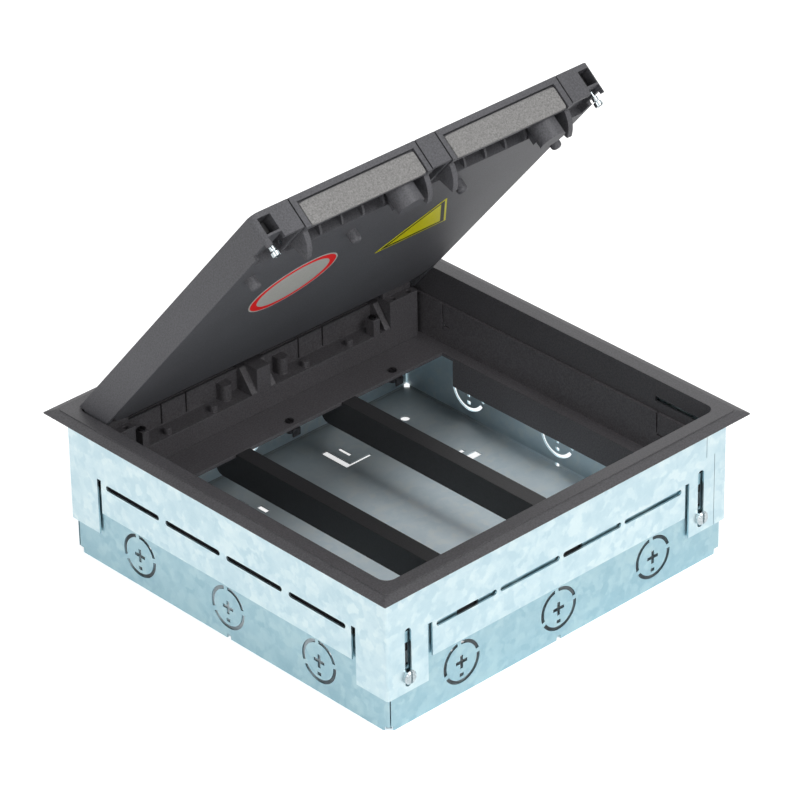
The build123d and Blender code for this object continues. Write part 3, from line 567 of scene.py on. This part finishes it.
class FLOORBOX_OT_steel(bpy.types.Operator):
    """Galvanise the tray and the collar"""

    bl_idname = "floorbox.steel"
    bl_label = "Galvanised sheets"

    def execute(self, context):
        sizes = context.scene.floor_box_steel
        dress(TRAY_NODES, galvanised_steel("galvanised_steel_tray", list(sizes.tray_colour),
                                           sizes, list(sizes.inside_colour_with_painted_light)))
        collar = galvanised_steel("galvanised_steel_collar", list(sizes.collar_colour), sizes)
        dress(COLLAR_NODES, collar)
        dress(PLATE_NODES,
              galvanised_steel("galvanised_steel_plate", list(sizes.plate_colour), sizes))
        return {"FINISHED"}


class FLOORBOX_OT_plastic(bpy.types.Operator):
    """Give the moulded parts their polyamide"""

    bl_idname = "floorbox.plastic"
    bl_label = "Moulded parts"

    def execute(self, context):
        sizes = context.scene.floor_box_plastic
        for nodes, name, colour in (
                (FRAME_NODES, "moulded_polyamide_frame", sizes.frame_colour),
                (INSERT_NODES, "moulded_polyamide_insert", sizes.insert_colour_with_painted_light),
                (BAR_NODES, "moulded_polyamide_bars", sizes.bar_colour),
                (LID_NODES, "moulded_polyamide_lid", sizes.lid_colour),
                (SLIDE_NODES, "moulded_acetal_slides", sizes.slide_colour)):
            dress(nodes, moulded_polyamide(name, list(colour), sizes.grain))
        return {"FINISHED"}


class FLOORBOX_OT_fasteners(bpy.types.Operator):
    """Plate the screws, pins, nuts and clips"""

    bl_idname = "floorbox.fasteners"
    bl_label = "Screws and pins"

    def execute(self, context):
        dress(ZINC_NODES, zinc_plated_steel("bright_zinc_steel"))
        dress(DARK_SCREW_NODES, black_oxide_steel("black_oxide_steel"))
        return {"FINISHED"}


class FLOORBOX_OT_films(bpy.types.Operator):
    """Print the two blank films under the lid"""

    bl_idname = "floorbox.films"
    bl_label = "Blank films"

    def execute(self, context):
        sizes = context.scene.floor_box_films
        dress(("round_sticker",),
              printed_film("vinyl_film_round", list(sizes.disc_colour),
                           list(sizes.disc_rim_colour), DISC_BAND, disc_depth))
        dress(("triangle_sticker",),
              printed_film("vinyl_film_triangle", list(sizes.triangle_colour),
                           list(sizes.triangle_rim_colour), TRIANGLE_BAND, triangle_depth))
        return {"FINISHED"}


def foam_surface(middle_x, crown):
    """Sawn foam strip as a superellipsoid: each half axis times a power of sine and cosine.

    The powers are far below 1, which squares it off; the front face falls by crown
    towards its edges, and long waves a few hundredths of a mm high run over it."""
    half = np.array(FOAM_HALF)
    centre = np.array([middle_x, *FOAM_MIDDLE[1:]])
    rows, columns = FOAM_GRID
    v = np.linspace(-math.pi / 2, math.pi / 2, rows)[:, None]
    u = np.linspace(0, 2 * math.pi, columns, endpoint=False)[None, :]

    def power(wave, exponent):
        return np.sign(wave) * np.abs(wave) ** exponent

    round_cos = power(np.cos(u), FOAM_SECTION_POWER)
    round_sin = power(np.sin(u), FOAM_SECTION_POWER)
    ring = power(np.cos(v), FOAM_RING_POWER)
    x = half[0] * power(np.sin(v), FOAM_END_POWER) + 0 * u
    y = half[1] * ring * round_cos
    z = half[2] * ring * round_sin
    fall = crown / MM * ((x / half[0]) ** 8 + (z / half[2]) ** 6)
    wave = FOAM_WAVE * np.sin(x * 0.9) * np.cos(z * 0.8 + 0.05 * x)
    front = (y < 0).astype(float)
    y = y + front * np.clip(fall + wave, 0, FOAM_FALL_LIMIT)
    return opened(np.stack([x, y, z], axis=-1) + centre)


class FLOORBOX_OT_foam(bpy.types.Operator):
    """Build the foam strips of the cord outlets"""

    bl_idname = "floorbox.foam"
    bl_label = "Foam strips"

    def execute(self, context):
        sizes = context.scene.floor_box_foam
        material = sealing_foam("polyurethane_foam", sizes)
        for side, sign in (("left", -1), ("right", 1)):
            points = foam_surface(sign * FOAM_MIDDLE[0], sizes.crown)
            strip = grid_piece(f"foam_{side}", points, True, material, f"outlet_{side}")
            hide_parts(f"foam_strip_{side}")
        return {"FINISHED"}


def direct_rays(tree):
    """1 on rays from the camera, a reflection or glass, and 1 on the camera's alone."""
    path = add_node(tree, "ShaderNodeLightPath")
    seen = add_node(tree, "ShaderNodeMath", {"operation": "MAXIMUM"},
                    {0: path.outputs["Is Camera Ray"], 1: path.outputs["Is Glossy Ray"]})
    direct = add_node(tree, "ShaderNodeMath", {"operation": "MAXIMUM"},
                      {0: seen.outputs["Value"], 1: path.outputs["Is Transmission Ray"]})
    return direct.outputs["Value"], path.outputs["Is Camera Ray"]


def stage_floor():
    """Pale floor that shows as white to the camera and to reflections, but for shadow."""
    half = FLOOR_HALF
    mesh = bpy.data.meshes.new("floor")
    mesh.from_pydata([(-half, -half, 0), (half, -half, 0), (half, half, 0), (-half, half, 0)],
                     [], [(0, 1, 2, 3)])
    material, tree, _ = new_material("pale_floor")
    direct, camera_ray = direct_rays(tree)
    even_glow = add_node(tree, "ShaderNodeMath", {"operation": "MULTIPLY"},
                         {0: direct, 1: DIRECT_GLOW})
    glow = add_node(tree, "ShaderNodeMath", {"operation": "MULTIPLY_ADD"},
                    {0: camera_ray, 1: CAMERA_GLOW, 2: even_glow.outputs["Value"]})
    paint = add_node(tree, "ShaderNodeBsdfDiffuse",
                     inputs={"Color": (*(FLOOR_GREY,) * 3, 1)})
    lamp = add_node(tree, "ShaderNodeEmission",
                    inputs={"Color": (1, 1, 1, 1), "Strength": glow.outputs["Value"]})
    both = add_node(tree, "ShaderNodeAddShader",
                    inputs={0: paint.outputs["BSDF"], 1: lamp.outputs["Emission"]})
    close_material(tree, both.outputs["Shader"])
    mesh.materials.append(material)
    floor = bpy.data.objects.new("floor", mesh)
    bpy.context.scene.collection.objects.link(floor)


def add_lamp(name, place, size, power):
    """Square area lamp that faces the box."""
    lamp = bpy.data.lights.new(name, "AREA")
    lamp.size = size
    lamp.energy = power
    thing = bpy.data.objects.new(name, lamp)
    thing.location = place
    thing.rotation_mode = "QUATERNION"
    thing.rotation_quaternion = (Vector(LAMP_TARGET) - Vector(place)).to_track_quat("-Z", "Y")
    bpy.context.scene.collection.objects.link(thing)


def add_sky(strength):
    """Even light, white to the camera, reflections and glass."""
    world = bpy.data.worlds.new("studio")
    world.use_nodes = True
    tree = world.node_tree
    tree.nodes.clear()
    direct, _ = direct_rays(tree)
    level = add_node(tree, "ShaderNodeMapRange",
                     inputs={"Value": direct, "To Min": strength, "To Max": 1.0})
    back = add_node(tree, "ShaderNodeBackground",
                    inputs={"Color": (1, 1, 1, 1), "Strength": level.outputs["Result"]})
    add_node(tree, "ShaderNodeOutputWorld", inputs={"Surface": back.outputs["Background"]})
    bpy.context.scene.world = world


def add_camera():
    """Camera where the photograph was taken from, long lens, slight roll."""
    data = bpy.data.cameras.new("camera")
    data.lens = CAMERA_LENS
    data.sensor_width = CAMERA_SENSOR
    camera = bpy.data.objects.new("camera", data)
    turn = Matrix((CAMERA_RIGHT, CAMERA_UP, CAMERA_BACK)).transposed().to_4x4()
    camera.matrix_world = Matrix.Translation(CAMERA_PLACE) @ turn
    bpy.context.scene.collection.objects.link(camera)
    bpy.context.scene.camera = camera


class FLOORBOX_OT_stage(bpy.types.Operator):
    """Set the floor, lamps, sky and camera"""

    bl_idname = "floorbox.stage"
    bl_label = "Stage"

    def execute(self, context):
        sizes = context.scene.floor_box_stage
        stage_floor()
        add_sky(sizes.sky)
        for name, place, size, share in LAMPS:
            add_lamp(name, place, size, sizes.lamp_power * share)
        add_camera()
        context.scene.view_settings.view_transform = "Standard"
        return {"FINISHED"}


GROUPS = {
    "floor_box_steel": SteelSizes,
    "floor_box_plastic": PlasticSizes,
    "floor_box_foam": FoamSizes,
    "floor_box_films": FilmSizes,
    "floor_box_stage": StageSizes,
}
OPERATORS = (FLOORBOX_OT_steel, FLOORBOX_OT_plastic, FLOORBOX_OT_fasteners,
             FLOORBOX_OT_films, FLOORBOX_OT_foam, FLOORBOX_OT_stage)


class FLOORBOX_PT_panel(bpy.types.Panel):
    """Sizes, colours and steps of the floor box"""

    bl_idname = "FLOORBOX_PT_panel"
    bl_label = "Floor box"
    bl_space_type = "VIEW_3D"
    bl_region_type = "UI"
    bl_category = "Floor box"

    def draw(self, context):
        for name, kind in GROUPS.items():
            for key in kind.__annotations__:
                self.layout.prop(getattr(context.scene, name), key)
        for operator in OPERATORS:
            self.layout.operator(operator.bl_idname)


def register():
    for kind in (*GROUPS.values(), *OPERATORS, FLOORBOX_PT_panel):
        bpy.utils.register_class(kind)
    for name, kind in GROUPS.items():
        setattr(bpy.types.Scene, name, bpy.props.PointerProperty(type=kind))


def unregister():
    for name in GROUPS:
        delattr(bpy.types.Scene, name)
    for kind in (FLOORBOX_PT_panel, *OPERATORS, *GROUPS.values()):
        bpy.utils.unregister_class(kind)


def main():
    register()
    bpy.ops.floorbox.steel()
    bpy.ops.floorbox.plastic()
    bpy.ops.floorbox.fasteners()
    bpy.ops.floorbox.films()
    bpy.ops.floorbox.foam()
    bpy.ops.floorbox.stage()


if __name__ == "__main__":
    main()
